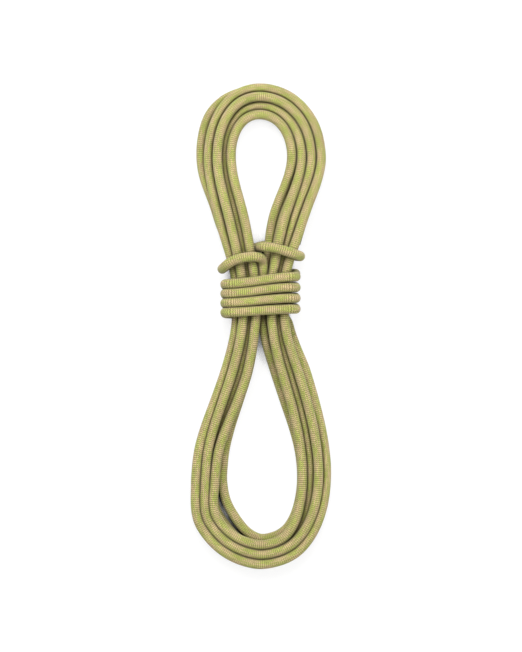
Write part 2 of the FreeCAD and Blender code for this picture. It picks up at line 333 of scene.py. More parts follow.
@dataclass(frozen=True)
class Hank:
    """Loops of the rope: a back layer that spirals in and a front one that spirals out.

    A loop counts as the next one past back_switch or front_switch, when it is settled which
    strands ride high. The front strand at tucked_place lies tuck_depth lower than the others
    at the foot, where its neighbour crosses over it. The climb fields place the strand that
    changes layers, stray widens the last loop at the left of the head and the neck, and bulge
    moves the first loop out at the head's top left.

    The stations follow the photograph, not the strands' clearance: strands overlap by up to
    4 mm inside the waist, where the wraps cover them, and by up to 0.6 mm where they show.
    """

    rope: Rope
    back_loops: int = 3
    front_loops: int = 4
    waist_low: float = 2.0
    waist_high: float = 56.0
    half_slot: float = 5.0
    waist_stagger: float = 50.0
    upper_run: tuple[float, float] = (15.6, 118.0)
    head_side: tuple[float, float] = (31.0, 180.0)
    head_height: float = 221.0
    lower_run: tuple[float, float] = (13.0, -60.0)
    foot_side: tuple[float, float] = (40.0, -158.0)
    foot_height: float = -221.0
    first_end_run: float = 24.0
    throat_rise: float = 13.0
    throat_shift: tuple[float, float] = (2.5, 0.0)
    stray: float = 2.2
    bulge: float = 3.0
    bulge_share: float = 0.4
    tucked_place: int = 1
    tuck_depth: float = 10.2
    corner_rise: float = 21.5
    back_switch: float = 0.7
    front_switch: float = 0.2
    climb_column: float = -0.16
    climb_lean: float = 4.0
    climb_share: float = 0.25

    @property
    def last_loop(self) -> int:
        """Number of the last loop, which goes on into the wraps."""
        return self.back_loops + self.front_loops - 1

    def stations(self) -> list[Station]:
        """List the places along one loop, each chosen against the photograph.

        Returns:
            One station for each stop, from the waist up over the head and round the foot.
        """
        slot, pitch, lift = self.half_slot, self.rope.pitch, self.rope.pitch
        wide_up, run_up = self.upper_run
        wide_down, run_down = self.lower_run
        head, head_side = self.head_side
        foot, foot_side = self.foot_side
        waist = {"front_stagger": self.waist_stagger, "back_stagger": self.waist_stagger,
                 "lift": lift, "pitch": self.rope.waist_pitch}
        return [
            Station(turn=0.00, x=slot, y=self.waist_low, heading=95, slack=0.5, **waist),
            Station(turn=0.03, x=slot + 0.9, y=self.waist_high, heading=80, slack=0.7, **waist),
            Station(turn=0.08, x=wide_up, y=run_up, heading=73.5, front_stagger=30,
                    back_stagger=22, lift=lift, slack=3.4, pitch=pitch, back_shift=-1.0),
            Station(turn=0.15, x=head, y=head_side, heading=90, front_stagger=0,
                    back_stagger=0, lift=0, slack=2.2, pitch=pitch - 0.6),
            Station(turn=0.25, x=-1.5, y=self.head_height, heading=180, front_stagger=30,
                    back_stagger=0, lift=0, slack=0.6, pitch=pitch),
            Station(turn=0.35, x=-head + 2, y=head_side, heading=270, front_stagger=50,
                    back_stagger=5, lift=0, slack=1.8, pitch=pitch + 0.3, back_shift=5.0),
            Station(turn=0.42, x=-wide_up, y=run_up, heading=283.5, front_stagger=47,
                    back_stagger=24, lift=lift, slack=4.2, pitch=pitch + 0.3, back_shift=3.0),
            Station(turn=0.48, x=-slot + 0.7, y=self.waist_high, heading=279, slack=1.3,
                    back_shift=-2.5, **waist),
            Station(turn=0.50, x=-slot + 2.3, y=self.waist_low, heading=265, slack=0.5, **waist),
            Station(turn=0.58, x=-wide_down, y=run_down, heading=253, front_stagger=46,
                    back_stagger=34, lift=3, slack=2.4, pitch=pitch),
            Station(turn=0.66, x=-foot, y=foot_side, heading=270, front_stagger=43,
                    back_stagger=27, lift=0, slack=1.6, pitch=pitch + 0.2, back_shift=-2.5,
                    front_sides=(8.3, 13.4, 18.5, 28.6)),
            Station(turn=0.70, x=-foot + 0.4, y=self.foot_height + self.corner_rise, heading=301,
                    front_stagger=50, back_stagger=24, lift=0, slack=1.6, pitch=pitch,
                    front_sides=(7.6, 17.5, 17.2, 26.8), back_sides=(23.0, 5.4, -8.3)),
            Station(turn=0.75, x=4, y=self.foot_height, heading=2, front_stagger=41,
                    back_stagger=24, lift=0, slack=0.6, pitch=pitch, back_shift=3.0,
                    front_sides=(10.0, 21.0, 20.3, 30.6)),
            Station(turn=0.84, x=foot - 3.5, y=foot_side, heading=90, front_stagger=41,
                    back_stagger=8, lift=0, slack=1.9, pitch=pitch + 0.3, back_shift=5.0),
            Station(turn=0.92, x=wide_down + 4.5, y=run_down, heading=107, front_stagger=43,
                    back_stagger=26, lift=3, slack=3.2, pitch=pitch + 0.3),
        ]

    def strand_point(self, station: Station, loop: int) -> Vector:
        """Find the centre of the strand where a loop passes a station.

        Args:
            station: The place that is passed.
            loop: Number of the loop, from the rope's first end.

        Returns:
            The point, in millimetres.
        """
        turn = loop + station.turn
        height = self.rope.floor_level + station.lift
        if turn < self.back_loops:
            layer, column, shift = Layer.BACK, self.back_loops - turn, station.back_shift
            number = self.back_loops - loop - (1 if station.turn > self.back_switch else 0)
        else:
            layer, column, shift = Layer.FRONT, turn - self.back_loops, 0.0
            number = loop - self.back_loops + (1 if station.turn > self.front_switch else 0)
            height += station.layer_rise
        if layer is Layer.FRONT and station.front_sides:
            place = loop - self.back_loops
            height += 0 if place == self.tucked_place else self.tuck_depth
            return station.at(station.front_sides[place], height)
        height += station.rise(layer) * (number % 2)
        if layer is Layer.BACK and station.back_sides:
            return station.at(station.back_sides[loop], height)
        return station.at(column * station.step(layer) + shift, height)

    def climb_point(self, station: Station, stop: Stop) -> Vector:
        """Find the centre of the strand that climbs from the back layer to the front one.

        Args:
            station: The place that is passed.
            stop: Which one of a loop's stations it is, up to the neck.

        Returns:
            The point, in millimetres, bowed inwards where the strand passes others.
        """
        height = self.rope.floor_level + station.lift
        step = station.step(Layer.BACK)
        if stop is Stop.NECK_RIGHT:
            return station.at(self.climb_column * step,
                              height + station.layer_rise * self.climb_share)
        if stop is Stop.WAIST_RIGHT_LOW:
            height += self.throat_rise
        return station.at(-self.climb_lean * station.turn * step - self.throat_shift[stop], height)

    def places(self, end: Place) -> list[Place]:
        """Points and directions of all loops.

        Args:
            end: Where the last loop hands over to the wraps, and its direction there.

        Returns:
            The route from the rope's first end to the wraps.
        """
        stations = self.stations()
        first = self.strand_point(stations[Stop.NECK_RIGHT], 0)
        ahead = stations[Stop.NECK_RIGHT].forward
        result = [Place(first - ahead * self.first_end_run, ahead)]
        for loop in range(self.last_loop + 1):
            for stop, station in zip(Stop, stations):
                if loop == 0 and stop < Stop.NECK_RIGHT:
                    continue
                point = self.strand_point(station, loop)
                if loop == self.back_loops and stop <= Stop.NECK_RIGHT:
                    point = self.climb_point(station, stop)
                if loop == self.last_loop and stop in (Stop.HEAD_LEFT, Stop.NECK_LEFT):
                    point += station.outward * self.stray
                if loop == 0 and stop is Stop.HEAD_LEFT:
                    result.append(self.bulged(result[-1], Place(point, station.forward)))
                if loop == self.last_loop and stop is Stop.LEG_RIGHT:
                    point.z = self.rope.floor_level + station.lift
                result.append(Place(point, station.forward))
        result.append(end)
        return steered(result, Vector((0, 0, 1)))

    def bulged(self, here: Place, there: Place) -> Place:
        """Place within a bend, moved outwards.

        Args:
            here: Start of the bend.
            there: End of the bend.

        Returns:
            The place, with the direction that the bend has there.
        """
        forward = here.forward.lerp(there.forward, self.bulge_share).normalized()
        middle = hermite(here, there, hand_length(here, there), self.bulge_share)
        return Place(middle + Vector((forward.y, -forward.x, 0)) * self.bulge, forward)

    def outer_strand(self, stop: Stop) -> Vector:
        """Outermost front strand at one of the waist's stops."""
        return self.strand_point(self.stations()[stop], self.last_loop)

    def outer_height(self, stop: Stop) -> float:
        """Find the highest strand centre at one of the waist's stops.

        Args:
            stop: Where the height is asked.

        Returns:
            The height, in millimetres.
        """
        station = self.stations()[stop]
        rise = station.layer_rise + station.rise(Layer.FRONT)
        return self.rope.floor_level + station.lift + rise


@dataclass(frozen=True)
class Wraps:
    """Turns of the rope's own end round the waist of the hank."""

    rope: Rope
    hank: Hank
    turns: int = 4
    pitch: float = 10.25
    first_height: float = 13.4
    front_rise: float = 6.6
    bend_radius: float = 13.0
    last_climb: float = 6.0
    slack: float = 0.3
    start_columns: float = 3.6
    start_shift: float = 4.0
    start_heading: float = 107.0
    left_lifts: tuple[float, ...] = (1.0, 0.7, 0.35, 0.0)
    right_drops: tuple[float, ...] = (2.6, 1.6, 0.6, 0.0)
    right_shares: tuple[float, float] = (0.12, 0.75)
    leaving_way: tuple[float, float] = (-0.85, 0.52)
    leaving_rise: float = 0.6

    @property
    def side_rise(self) -> float:
        """A quarter of what the two sides of a turn climb together."""
        return (self.pitch - self.front_rise) / 4

    @property
    def top(self) -> float:
        """Height of the wraps' front passes."""
        outer = max(self.hank.outer_height(stop) for stop in WAIST_RIGHT + WAIST_LEFT)
        return outer + self.rope.waist_pitch

    @property
    def start(self) -> Vector:
        """Find where the hank's last loop becomes the first wrap.

        Returns:
            The point, in millimetres.
        """
        step = self.hank.stations()[Stop.WAIST_RIGHT_LOW].step(Layer.FRONT)
        back_pass = self.first_height - 2 * self.side_rise
        return Vector((self.hank.half_slot + self.start_columns * step + self.start_shift,
                       back_pass - self.bend_radius - self.start_way.y * self.rope.diameter,
                       self.rope.floor_level))

    @property
    def start_way(self) -> Vector:
        """Direction in which the last loop runs into the first wrap."""
        angle = math.radians(self.start_heading)
        return Vector((math.cos(angle), math.sin(angle), 0))

    def places(self) -> list[Place]:
        """List the points and directions of the wraps.

        Each turn goes up the left side, across the front, down the right side and back
        underneath. Each side takes half of the climb that the front doesn't take.

        Returns:
            The route from the loops to behind the neck.
        """
        north, up, down = Vector((0, 1, 0)), Vector((0, 0, 1)), Vector((0, 0, -1))
        east, west = Vector((1, 0, 0)), Vector((-1, 0, 0))
        corner, floor = self.rope.waist_pitch, self.rope.floor_level
        right = max(self.hank.outer_strand(stop).x for stop in WAIST_RIGHT) + corner + self.slack
        left = min(self.hank.outer_strand(stop).x for stop in WAIST_LEFT) - corner
        top, side = self.top, self.side_rise
        near, far = self.right_shares
        way = self.start_way
        straight = self.start + way * self.rope.diameter
        bent = straight + Vector((-self.bend_radius, self.bend_radius, 0))
        result = [Place(self.start, way), Place(straight, way), Place(bent, west)]
        for turn in range(self.turns):
            base = self.first_height + turn * self.pitch
            fall = base + self.front_rise - self.right_drops[turn]
            base += self.left_lifts[turn]
            last = turn == self.turns - 1
            climb = self.last_climb if last else 2 * side
            result += [
                Place(Vector((left + corner, base - 2 * side, floor)), west),
                Place(Vector((left, base - 1.5 * side, floor + corner)), up),
                Place(Vector((left, base - 0.5 * side, top - corner)), up),
                Place(Vector((left + corner, base, top)), east),
                Place(Vector((right - corner, fall, top)), east),
                Place(Vector((right, fall + near * climb, top - corner)), down),
                Place(Vector((right, fall + far * climb, floor + corner)), down),
            ]
            if not last:
                result.append(Place(Vector((right - corner, fall + climb, floor)), west))
        leaving = Vector((*self.leaving_way, 0)).normalized()
        turned = Vector((right - corner, fall + climb + self.leaving_rise, floor))
        result.append(Place(turned, leaving))
        result.append(Place(turned + leaving * self.rope.diameter, leaving))
        return steered(result, north)


@dataclass(frozen=True)
class Bight:
    """Bight that locks the wraps, and the tail tucked down under them.

    Each point is x, y and the share of the way from the floor level up to the wraps' front.
    """

    rope: Rope
    wraps: Wraps
    route: tuple[tuple[float, float, float], ...] = (
        (7, 64.5, 0), (-2, 65.5, 0), (-5.2, 72, 0.06), (-4, 80.5, 0.5), (0.8, 83, 0.97),
        (14, 81.5, 1.04), (30.5, 76.5, 1.04), (41, 73.4, 0.86), (41.8, 73, 0.39),
        (35, 74.5, 0.01), (19, 80.5, 0), (2, 87, 0), (-14, 78, 0), (-29, 68.5, 0),
        (-38.8, 62, 0.11), (-41.5, 59.5, 0.43), (-39.8, 60.5, 0.82), (-33.5, 66, 0.99),
        (-23, 70.5, 1.04), (-11, 72.2, 1.04), (-3.2, 72, 1.0), (0.9, 70.5, 0.88),
        (1.9, 66, 0.77), (2.5, 58.5, 0.74), (2.65, 50, 0.74), (2.65, 13, 0.74),
    )

    def points(self) -> list[Vector]:
        """List the control points of the bight's line.

        Returns:
            The points from the last wrap to the rope's end, in millimetres.
        """
        floor = self.rope.floor_level
        height = self.wraps.top - floor
        start = self.wraps.places()[-1].point
        return [start] + [Vector((x, y, floor + share * height)) for x, y, share in self.route]


@dataclass
class Line:
    """Smooth centre line of a stretch of rope, read from its spline, in metres."""

    points: list[Vector]

    @classmethod
    def through(cls, controls: list[Vector], name: str) -> "Line":
        """Make the line of a quadratic spline.

        Args:
            controls: Control points in millimetres.
            name: Name for the curve that is read.

        Returns:
            The line, as close points in metres.
        """
        data = bpy.data.curves.new(name, "CURVE")
        data.dimensions = "3D"
        data.resolution_u = SPLINE_STEPS
        spline = data.splines.new("NURBS")
        spline.points.add(len(controls) - 1)
        for point, control in zip(spline.points, controls):
            point.co = (*(control * MM), 1)
        spline.order_u = 3
        spline.use_endpoint_u = True
        carrier = bpy.data.objects.new(name, data)
        mesh = bpy.data.meshes.new_from_object(carrier)
        points = [vertex.co.copy() for vertex in mesh.vertices]
        bpy.data.meshes.remove(mesh)
        bpy.data.objects.remove(carrier)
        bpy.data.curves.remove(data)
        return cls(points)

    @property
    def length(self) -> float:
        """Length of the line in metres."""
        return sum((b - a).length for a, b in zip(self.points, self.points[1:]))

    def spaced(self, spacing: float) -> list[Vector]:
        """Give points along the line at even distances.

        Args:
            spacing: Wanted distance in metres.

        Returns:
            Points from the first to the last, evenly spread.
        """
        count = max(2, round(self.length / spacing))
        step = self.length / count
        result, walked, target = [self.points[0]], 0.0, step
        for start, end in zip(self.points, self.points[1:]):
            run = (end - start).length
            while run > 0 and walked + run >= target and len(result) < count:
                result.append(start.lerp(end, (target - walked) / run))
                target += step
            walked += run
        return result + [self.points[-1]]


@dataclass(frozen=True)
class Tube:
    """Mesh tube of the rope round a line, pressed flat where it would enter the floor."""

    rope: Rope
    spacing: float
    segments: int
    floor_guard: float = 0.0002
    unevenness: float = 0.006
    wave_rates: tuple[float, float] = (41.0, 97.0)
    fine_wave_share: float = 0.6
    fine_wave_phase: float = 1.3
    bake_margin: float = 0.04
    bake_height: float = 0.98
    bake_edge: float = 0.01
    cap_size: float = 0.008
    cap_edge: float = 0.001

    def build(self, name: str, line: Line,
              start: float) -> tuple[bpy.types.Object, list[Vector]]:
        """Make the tube.

        Args:
            name: Name of the new piece.
            line: Centre line to follow.
            start: Length of rope before this stretch, so that the braid runs on.

        Returns:
            The new object and the ring centres.
        """
        centres = line.spaced(self.spacing)
        step = line.length / (len(centres) - 1)
        vertices = []
        for index, (centre, side, across) in enumerate(self._frames(centres)):
            radius = self._radius(start + index * step)
            for number in range(self.segments):
                angle = 2 * math.pi * number / self.segments
                point = centre + (side * math.cos(angle) + across * math.sin(angle)) * radius
                point.z = max(point.z, self.floor_guard)
                vertices.append(point)
        faces = [self._quad(ring, number)
                 for ring in range(len(centres) - 1) for number in range(self.segments)]
        caps = [list(range(self.segments))[::-1],
                list(range(len(vertices) - self.segments, len(vertices)))]
        mesh = bpy.data.meshes.new(name)
        mesh.from_pydata(vertices, [], faces + caps)
        mesh.polygons.foreach_set("use_smooth", [True] * len(faces) + [False, False])
        self._lay_braid(mesh, len(centres), start, step)
        self._lay_bake(mesh, len(centres))
        piece = bpy.data.objects.new(name, mesh)
        bpy.context.collection.objects.link(piece)
        return piece, centres

    def _quad(self, ring: int, number: int) -> tuple[int, int, int, int]:
        """Find the corners of one face of the tube.

        Args:
            ring: Ring at which the face starts.
            number: Place of the face round the tube.

        Returns:
            Indices of its four vertices.
        """
        here, following = ring * self.segments, (ring + 1) * self.segments
        after = (number + 1) % self.segments
        return (here + number, here + after, following + after, following + number)

    def _radius(self, along: float) -> float:
        """Find the radius at a length along the rope, a little uneven as in braided rope.

        Args:
            along: Length along the rope, in metres.

        Returns:
            The radius, in metres.
        """
        slow, fine = self.wave_rates
        fine_wave = math.sin(along * fine + self.fine_wave_phase)
        wave = math.sin(along * slow) + self.fine_wave_share * fine_wave
        return (self.rope.radius + self.rope.pile) * MM * (1 + self.unevenness * wave)

    @staticmethod
    def _frames(centres: list[Vector]) -> list[tuple[Vector, Vector, Vector]]:
        """Carry a pair of cross axes along the line without twist.

        Args:
            centres: Ring centres along the line.

        Returns:
            Each centre with its two axes.
        """
        frames = []
        side = None
        for index, centre in enumerate(centres):
            before, after = centres[max(index - 1, 0)], centres[min(index + 1, len(centres) - 1)]
            ahead = (after - before).normalized()
            if side is None:
                side = ahead.orthogonal().normalized()
            side = (side - ahead * side.dot(ahead)).normalized()
            frames.append((centre, side, ahead.cross(side)))
        return frames

    def _lay_braid(self, mesh: bpy.types.Mesh, rings: int, start: float, step: float) -> None:
        """Lay the map of the braid: share of the way round, and metres along the rope.

        Args:
            mesh: Mesh of the tube.
            rings: How many rings it has.
            start: Length of rope before this stretch.
            step: Distance between rings.
        """
        layer = mesh.uv_layers.new(name="Braid")
        values = []
        for ring in range(rings - 1):
            near, far = start + ring * step, start + (ring + 1) * step
            for number in range(self.segments):
                left, right = number / self.segments, (number + 1) / self.segments
                values += [left, near, right, near, right, far, left, far]
        for along in (start, start + (rings - 1) * step):
            for number in range(self.segments):
                values += [number / self.segments, along]
        layer.data.foreach_set("uv", values)

    def _lay_bake(self, mesh: bpy.types.Mesh, rings: int) -> None:
        """Lay the map for baking: the tube cut into strips side by side.

        Args:
            mesh: Mesh of the tube.
            rings: How many rings it has.
        """
        layer = mesh.uv_layers.new(name="OFBake")
        length = (rings - 1) * self.spacing
        strips = max(1, round(math.sqrt(length / (2 * math.pi * self.rope.radius * MM))))
        rows = math.ceil((rings - 1) / strips)
        inner = 1 - 2 * self.bake_margin
        values = []
        for ring in range(rings - 1):
            strip, row = divmod(ring, rows)
            near = row / rows * self.bake_height + self.bake_edge
            far = (row + 1) / rows * self.bake_height + self.bake_edge
            for number in range(self.segments):
                left = (strip + self.bake_margin + inner * number / self.segments) / strips
                right = left + inner / self.segments / strips
                values += [left, near, right, near, right, far, left, far]
        for side in (0.0, 1.0 - self.cap_size):
            for number in range(self.segments):
                angle = 2 * math.pi * number / self.segments
                values += [side + self.cap_size * (0.5 + 0.5 * math.cos(angle)),
                           self.cap_edge + self.cap_size * (0.5 + 0.5 * math.sin(angle))]
        layer.data.foreach_set("uv", values)


@dataclass
class Shader:
    """Short way to write the node tree of a material or of the world."""

    owner: bpy.types.Material | bpy.types.World
    _made: int = field(default=0, init=False)

    @classmethod
    def new(cls, name: str) -> "Shader":
        """Start an empty node material."""
        return cls.on(bpy.data.materials.new(name))

    @classmethod
    def on(cls, owner: bpy.types.Material | bpy.types.World) -> "Shader":
        """Start an empty node tree.

        Args:
            owner: Material or world that gets the tree.

        Returns:
            The shader that writes it.
        """
        owner.use_nodes = True
        owner.node_tree.nodes.clear()
        return cls(owner)

    def node(self, kind: str, **settings: str | int) -> bpy.types.Node:
        """Add a node and set its properties.

        Args:
            kind: Blender's name for the node's type.
            settings: Properties of the node, by name.

        Returns:
            The new node.
        """
        made = self.owner.node_tree.nodes.new(kind)
        column, row = divmod(self._made, NODES_PER_COLUMN)
        made.location = (NODE_WIDTH * column, -NODE_HEIGHT * row)
        self._made += 1
        for name, value in settings.items():
            setattr(made, name, value)
        return made

    def feed(self, socket: bpy.types.NodeSocket, value: Input) -> None:
        """Link an output to a socket, or set the socket to a constant.

        Args:
            socket: Input that is fed.
            value: Output of another node, or the constant.
        """
        if isinstance(value, bpy.types.NodeSocket):
            self.owner.node_tree.links.new(value, socket)
        else:
            socket.default_value = value

    def math(self, operation: str, *values: Input) -> bpy.types.NodeSocket:
        """Add a math node.

        Args:
            operation: Blender's name for the operation.
            values: What it works on, in order.

        Returns:
            The result.
        """
        made = self.node("ShaderNodeMath", operation=operation)
        for socket, value in zip(made.inputs, values):
            self.feed(socket, value)
        return made.outputs[0]

    def mix(self, share: Input, first: Input, second: Input) -> bpy.types.NodeSocket:
        """Mix two colours.

        Args:
            share: Share of the second colour.
            first: The one colour.
            second: The other colour.

        Returns:
            The mixed colour.
        """
        made = self.node("ShaderNodeMix", data_type="RGBA")
        self.feed(made.inputs[MIX_SHARE], share)
        self.feed(made.inputs[MIX_FIRST], first)
        self.feed(made.inputs[MIX_SECOND], second)
        return made.outputs[MIX_RESULT]

    def ramp(self, value: Input, source: Range,
             target: Range = (0.0, 1.0)) -> bpy.types.NodeSocket:
        """Map a range to another one, softly and clamped.

        Args:
            value: Value that is mapped.
            source: Range that it comes from.
            target: Range that it goes to.

        Returns:
            The mapped value.
        """
        made = self.node("ShaderNodeMapRange", interpolation_type="SMOOTHSTEP")
        for socket, number in zip(made.inputs, (value, *source, *target)):
            self.feed(socket, number)
        return made.outputs[0]

    def on_piece(self) -> bpy.types.NodeSocket:
        """Place on the piece, for slow changes of colour."""
        return self.node("ShaderNodeTexCoord").outputs["Object"]

    def noise(self, place: Input, scale: float, detail: float) -> bpy.types.NodeSocket:
        """Add a noise texture.

        Args:
            place: Where the noise is read.
            scale: How fine it is.
            detail: How many finer layers it has.

        Returns:
            Its value.
        """
        made = self.node("ShaderNodeTexNoise")
        self.feed(made.inputs["Vector"], place)
        self.feed(made.inputs["Scale"], scale)
        self.feed(made.inputs["Detail"], detail)
        return made.outputs[0]

    def bump(self, height: Input, relief: float) -> bpy.types.NodeSocket:
        """Turn a height into a normal.

        Args:
            height: Height from 0 to 1.
            relief: Depth of the full height, in metres.

        Returns:
            The normal.
        """
        made = self.node("ShaderNodeBump")
        self.feed(made.inputs["Height"], height)
        self.feed(made.inputs["Distance"], relief)
        return made.outputs[0]

    def finish(self, colour: Input, roughness: Input, normal: Input,
               constants: dict[str, float | Colour]) -> bpy.types.Material:
        """Close the material with one shader.

        Args:
            colour: Base colour, linked or constant.
            roughness: Roughness, linked or constant.
            normal: Normal output.
            constants: Values for other sockets of the shader.

        Returns:
            The finished material.
        """
        surface = self.node("ShaderNodeBsdfPrincipled")
        self.feed(surface.inputs["Base Color"], colour)
        self.feed(surface.inputs["Roughness"], roughness)
        self.feed(surface.inputs["Normal"], normal)
        for name, value in constants.items():
            surface.inputs[name].default_value = value
        output = self.node("ShaderNodeOutputMaterial")
        self.feed(output.inputs[0], surface.outputs[0])
        return self.owner

    def openness(self, reach: float, samples: int) -> bpy.types.NodeSocket:
        """Find how open a point is to its surroundings.

        Args:
            reach: How far away a neighbour still counts, in metres.
            samples: How many directions are tried.

        Returns:
            The openness, from 0 to 1.
        """
        made = self.node("ShaderNodeAmbientOcclusion", samples=samples)
        self.feed(made.inputs["Distance"], reach)
        return made.outputs["AO"]

    def backdrop(self, lit: bpy.types.NodeSocket, white: bpy.types.NodeSocket,
                 share: Input) -> bpy.types.NodeSocket:
        """Show a share of plain white to the camera and in reflections.

        Args:
            lit: Shader that other rays meet.
            white: Plain white shader.
            share: How much of the white is shown.

        Returns:
            Output of the mixed shader.
        """
        path = self.node("ShaderNodeLightPath")
        seen = path.outputs["Is Camera Ray"]
        for kind in ("Is Glossy Ray", "Is Transmission Ray"):
            seen = self.math("MAXIMUM", seen, path.outputs[kind])
        mixed = self.node("ShaderNodeMixShader")
        for socket, value in zip(mixed.inputs, (self.math("MULTIPLY", seen, share), lit, white)):
            self.feed(socket, value)
        return mixed.outputs[0]


@dataclass(frozen=True)
class BraidedSheath:
    """Braided nylon sheath: carriers of two colours that cross in a chevron, with painted shade in
    the creases between picks and where strands touch.
    """

    columns: int = 24
    pick: float = 0.0021
    slant: float = 0.55
    lead: float = 0.062
    lime: Colour = (0.45, 0.50, 0.13, 1)
    tan: Colour = (0.62, 0.49, 0.255, 1)
    # Painted shade: dark colour laid in the creases between picks, where a pick's height is low.
    painted_crease_shade: Colour = (0.10, 0.078, 0.018, 1)
    # Painted shade: near-black colour laid where strands touch or lie close, found by ambient
    # occlusion.
    painted_contact_shade: Colour = (0.055, 0.042, 0.006, 1)
    yarn_groups: float = 2.0
    lime_edge: Range = (0.36, 0.64)
    yarn_shades: Range = (0.86, 1.12)
    grime_scale: float = 38.0
    grime_detail: float = 3.0
    grime_edge: Range = (0.3, 0.7)
    grime_shades: Range = (0.93, 1.04)
    crease_shade_edge: Range = (0.27, 0.92)
    rib_power: float = 0.7
    ridge_power: float = 0.45
    # Reach, samples and range of the ambient occlusion that lays the painted contact shade.
    contact_shade_reach: float = 0.010
    contact_shade_samples: int = 6
    contact_shade_edge: Range = (0.2, 0.8)
    relief: float = 0.00030
    roughness: float = 0.72
    specular: float = 0.25
    sheen: float = 0.2
    sheen_roughness: float = 0.5
    sheen_tint: Colour = (0.9, 0.86, 0.6, 1)

    def build(self) -> bpy.types.Material:
        """Make the material.

        Returns:
            The sheath's finish, which reads the map of the braid.
        """
        shader = Shader.new("braided_sheath")
        place = shader.node("ShaderNodeUVMap", uv_map="Braid").outputs[0]
        split = shader.node("ShaderNodeSeparateXYZ")
        shader.feed(split.inputs[0], place)
        around, along = split.outputs[0], split.outputs[1]
        scaled = shader.math("MULTIPLY", around, self.columns)
        column = shader.math("FLOOR", scaled)
        across = shader.math("SUBTRACT", scaled, column)
        hand = shader.math("SUBTRACT", 1.0, shader.math(
            "MULTIPLY", 2.0, shader.math("MODULO", column, 2.0)))
        lean = shader.math("MULTIPLY", shader.math(
            "MULTIPLY", hand, self.slant), shader.math("SUBTRACT", across, 0.5))
        phase = shader.math("ADD", shader.math("DIVIDE", along, self.pick), lean)
        number = shader.math("FLOOR", phase)
        within = shader.math("SUBTRACT", phase, number)
        height = self._height(shader, within, across)
        worn = self._worn_yarn(shader, around, along, hand, column, number)
        # Painted shade in the creases: low parts of each pick take the dark crease colour.
        braid = shader.mix(shader.ramp(height, self.crease_shade_edge), self.painted_crease_shade, worn)
        # Painted shade where strands touch or lie close: the less open a point, the more of the
        # dark contact colour.
        openness = shader.ramp(shader.openness(self.contact_shade_reach, self.contact_shade_samples),
                               self.contact_shade_edge)
        colour = shader.mix(openness, self.painted_contact_shade, braid)
        return shader.finish(colour, self.roughness, shader.bump(height, self.relief), {
            "Sheen Weight": self.sheen, "Sheen Roughness": self.sheen_roughness,
            "Specular IOR Level": self.specular, "Sheen Tint": self.sheen_tint})

    def _height(self, shader: Shader, within: Input, across: Input) -> bpy.types.NodeSocket:
        """Round each pick of the braid.

        Args:
            shader: Shader that is written.
            within: Share of the way along the pick.
            across: Share of the way across it.

        Returns:
            Height of the pick, from 0 to 1.
        """
        rib = shader.math("SINE", shader.math("MULTIPLY", within, math.pi))
        ridge = shader.math("SINE", shader.math("MULTIPLY", across, math.pi))
        return shader.math("MULTIPLY", shader.math("POWER", rib, self.rib_power),
                           shader.math("POWER", ridge, self.ridge_power))

    def _worn_yarn(self, shader: Shader, around: Input, along: Input, hand: Input,
                   column: Input, number: Input) -> bpy.types.NodeSocket:
        """Colour the carrier that shows, uneven from pick to pick and by wear.

        Args:
            shader: Shader that is written.
            around: Share of the way round the rope.
            along: Metres along the rope.
            hand: Which way the carrier winds, 1 or -1.
            column: Number of the column of picks.
            number: Number of the pick in its column.

        Returns:
            The yarn's colour.
        """
        wound = shader.math("MULTIPLY", shader.math("DIVIDE", along, self.lead), hand)
        carrier = shader.math("FRACT", shader.math("ADD", around, wound))
        group = shader.math("FRACT", shader.math("MULTIPLY", carrier, self.yarn_groups))
        is_lime = shader.ramp(group, self.lime_edge)
        pick_place = shader.node("ShaderNodeCombineXYZ")
        shader.feed(pick_place.inputs[0], column)
        shader.feed(pick_place.inputs[1], number)
        chance = shader.node("ShaderNodeTexWhiteNoise", noise_dimensions="2D")
        shader.feed(chance.inputs["Vector"], pick_place.outputs[0])
        yarn = shader.mix(is_lime, self.tan, self.lime)
        shade = shader.ramp(chance.outputs["Value"], (0.0, 1.0), self.yarn_shades)
        grime = shader.noise(shader.on_piece(), self.grime_scale, self.grime_detail)
        worn = shader.math("MULTIPLY", shade,
                           shader.ramp(grime, self.grime_edge, self.grime_shades))
        bright = shader.node("ShaderNodeHueSaturation")
        shader.feed(bright.inputs["Value"], worn)
        shader.feed(bright.inputs["Color"], yarn)
        return bright.outputs[0]


@dataclass(frozen=True)
class ShrunkTube:
    """Black heat-shrunk sleeve, satin, with faint flow marks."""

    colour: Colour = (0.018, 0.018, 0.02, 1)
    marked: Colour = (0.045, 0.044, 0.046, 1)
    mark_scale: float = 420.0
    mark_detail: float = 3.0
    mark_edge: Range = (0.35, 0.75)
    rough_edge: Range = (0.2, 0.8)
    roughness: Range = (0.36, 0.50)
    relief: float = 0.00008
    specular: float = 0.5

    def build(self) -> bpy.types.Material:
        """Make the material.

        Returns:
            The sleeve's finish.
        """
        shader = Shader.new("shrunk_tube")
        marks = shader.noise(shader.on_piece(), self.mark_scale, self.mark_detail)
        colour = shader.mix(shader.ramp(marks, self.mark_edge), self.colour, self.marked)
        normal = shader.bump(marks, self.relief)
        rough = shader.ramp(marks, self.rough_edge, self.roughness)
        return shader.finish(colour, rough, normal, {"Specular IOR Level": self.specular})


@dataclass(frozen=True)
class FusedNylon:
    """Cut end of the rope, melted and smoothed."""

    colour: Colour = (0.10, 0.085, 0.04, 1)
    scorched: Colour = (0.03, 0.024, 0.014, 1)
    blotch_scale: float = 700.0
    blotch_detail: float = 4.0
    blotch_edge: Range = (0.35, 0.65)
    relief: float = 0.0002
    roughness: float = 0.38
    specular: float = 0.5

    def build(self) -> bpy.types.Material:
        """Make the material.

        Returns:
            The fused end's finish.
        """
        shader = Shader.new("fused_nylon")
        blotches = shader.noise(shader.on_piece(), self.blotch_scale, self.blotch_detail)
        colour = shader.mix(shader.ramp(blotches, self.blotch_edge), self.colour, self.scorched)
        normal = shader.bump(blotches, self.relief)
        return shader.finish(colour, self.roughness, normal,
                             {"Specular IOR Level": self.specular})


